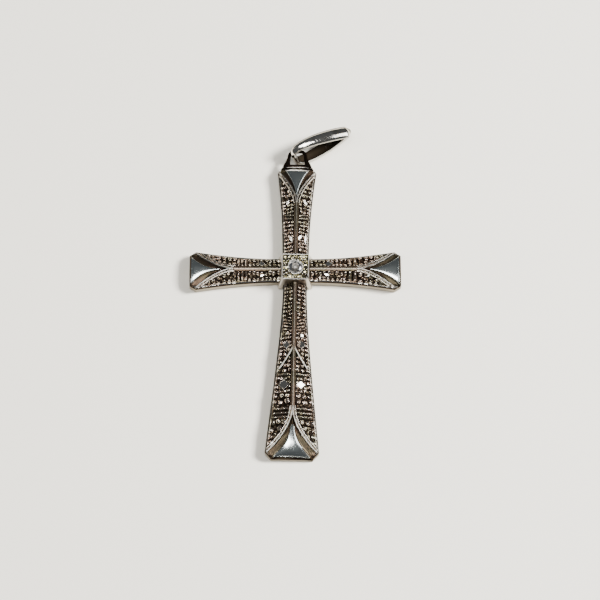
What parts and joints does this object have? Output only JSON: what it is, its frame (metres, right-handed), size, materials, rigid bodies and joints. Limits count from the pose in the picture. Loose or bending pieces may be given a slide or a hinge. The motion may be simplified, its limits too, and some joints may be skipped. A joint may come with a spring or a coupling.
{
  "type": "cross pendant",
  "caption": "Cast cross pendant with flared arms, beaded relief, a square box-set round brilliant and a folded strap bail hung in its top loop.",
  "frame": {"origin": "on the surface that the pendant lies on, straight under the stone", "axes": "+Z out of the cross's face, +Y toward its head and loop, +X toward the arm at the right seen from the face"},
  "size_m": [0.0264, 0.0437, 0.0034],
  "materials": {
    "tarnished_silver": "worn cast silver, polished on the ridges and dark brown in the hollows",
    "brilliant": "clear, facet cut",
    "bail_silver": "polished silver, dark inside"
  },
  "bodies": {
    "cross": {"cross": "tarnished_silver", "stone": "brilliant"},
    "bail": {"bail": "bail_silver"}
  },
  "joints": [
    {"name": "bail_swing", "type": "hinge", "parent": "cross", "child": "bail", "pos_m": [0.00085, 0.01585, 0.00139], "axis": [0, 0, 1], "range_deg": [0, 27]}
  ]
}
